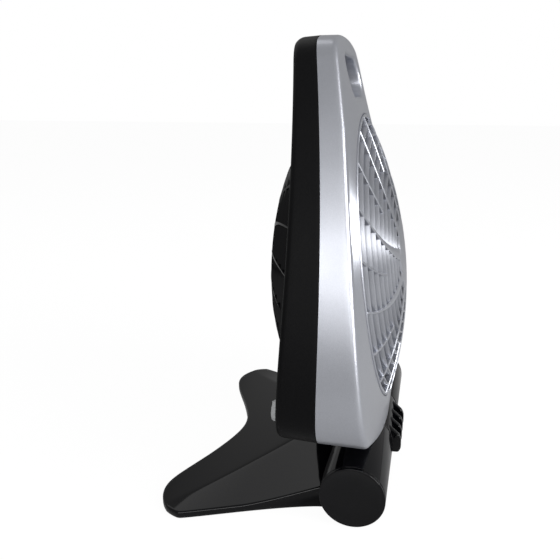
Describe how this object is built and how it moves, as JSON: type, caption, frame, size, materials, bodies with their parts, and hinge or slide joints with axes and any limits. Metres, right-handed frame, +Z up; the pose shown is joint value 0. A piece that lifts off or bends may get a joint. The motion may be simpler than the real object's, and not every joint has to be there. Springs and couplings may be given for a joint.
{
  "type": "battery desk fan",
  "caption": "Portable battery desk fan: tilting wedge head with silver front, black back, domed grilles and a carry slot, on a battery barrel with a notched leg plate.",
  "frame": {"origin": "on the table, under the middle of the footprint", "axes": "+X to the right seen from the front, -Y the way the fan blows, +Z up"},
  "size_m": [0.2596, 0.1601, 0.307],
  "materials": {
    "silver_paint": "satin silver paint",
    "satin_black": "satin black moulding",
    "piano_black": "high-gloss black moulding",
    "pale_grey": "matte",
    "bright_steel": "bright",
    "dark_plastic": "matte",
    "black_rubber": "matte",
    "cell_jacket": "printed jacket, plain",
    "board_green": "matte"
  },
  "bodies": {
    "base": {"leg_plate": "piano_black", "battery_barrel": "piano_black", "fixed_cap": "piano_black", "battery_1": "cell_jacket", "battery_2": "cell_jacket", "battery_3": "cell_jacket", "contact_plate": "bright_steel", "contact_spring": "bright_steel", "friction_washer_left": "black_rubber", "friction_washer_right": "black_rubber", "leg_screw_1": "bright_steel", "leg_screw_2": "bright_steel", "leg_foot_left": "black_rubber", "leg_foot_right": "black_rubber", "barrel_pad_left": "black_rubber", "barrel_pad_right": "black_rubber"},
    "cap": {"battery_cap": "piano_black"},
    "head": {"tilt_collar": "piano_black", "stem_plate": "bright_steel", "stem_screw_1": "bright_steel", "stem_screw_2": "bright_steel", "front_shell": "silver_paint", "rear_shell": "satin_black", "front_grille": "silver_paint", "rear_grille": "piano_black", "motor_can": "bright_steel", "motor_end_cap": "dark_plastic", "motor_magnet": "dark_plastic", "motor_bush_front": "bright_steel", "motor_bush_rear": "bright_steel", "motor_screw_1": "bright_steel", "motor_screw_2": "bright_steel", "shell_screw_1": "bright_steel", "shell_screw_2": "bright_steel", "shell_screw_3": "bright_steel", "shell_screw_4": "bright_steel", "switch_body": "dark_plastic", "circuit_board": "board_green", "dc_jack": "dark_plastic"},
    "spin": {"fan_impeller": "satin_black", "motor_shaft": "bright_steel", "motor_rotor": "bright_steel", "impeller_nut": "bright_steel"},
    "knob": {"speed_knob": "pale_grey"}
  },
  "joints": [
    {"name": "head_tilt", "type": "hinge", "parent": "base", "child": "head", "pos_m": [0, -0.0529, 0.0226], "axis": [-1, 0, 0], "range_deg": [-12, 25]},
    {"name": "blade_spin", "type": "hinge", "parent": "head", "child": "spin", "pos_m": [0, -0.0219, 0.156], "axis": [0, -1, 0], "continuous": true},
    {"name": "speed_knob_turn", "type": "hinge", "parent": "head", "child": "knob", "pos_m": [-0.096, -0.0091, 0.079], "axis": [0, -1, 0], "range_deg": [0, 90]},
    {"name": "battery_cap_turn", "type": "hinge", "parent": "base", "child": "cap", "pos_m": [-0.0964, -0.0529, 0.0226], "axis": [-1, 0, 0], "range_deg": [0, 30]}
  ]
}
